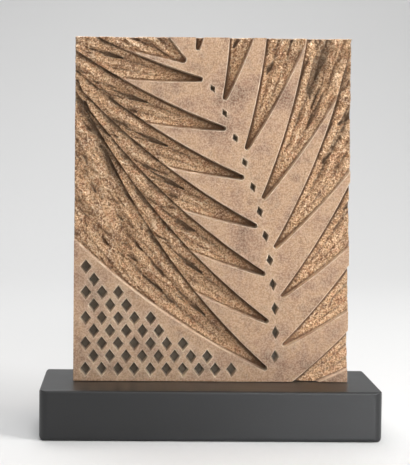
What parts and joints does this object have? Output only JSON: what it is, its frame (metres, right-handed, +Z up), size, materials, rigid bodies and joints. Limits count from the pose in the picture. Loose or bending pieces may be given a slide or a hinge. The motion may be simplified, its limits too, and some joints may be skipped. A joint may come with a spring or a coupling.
{
  "type": "relief plaque",
  "caption": "Upright cast relief plate carved with a frond of pointed blades and lozenge sockets, standing on a long low base with rounded edges.",
  "frame": {"origin": "centre of the base's underside", "axes": "+X to the right as seen from the front, +Y from the carved face towards the back, +Z up"},
  "size_m": [0.291, 0.09, 0.3433],
  "materials": {
    "bronze": "rose-brown cast bronze: satin, rubbed lands over grainy sunk ground with dark patina in the recesses",
    "black_paint": "smooth satin black paint on wood"
  },
  "bodies": {
    "root": {"plaque": "bronze", "base": "black_paint"}
  },
  "joints": []
}
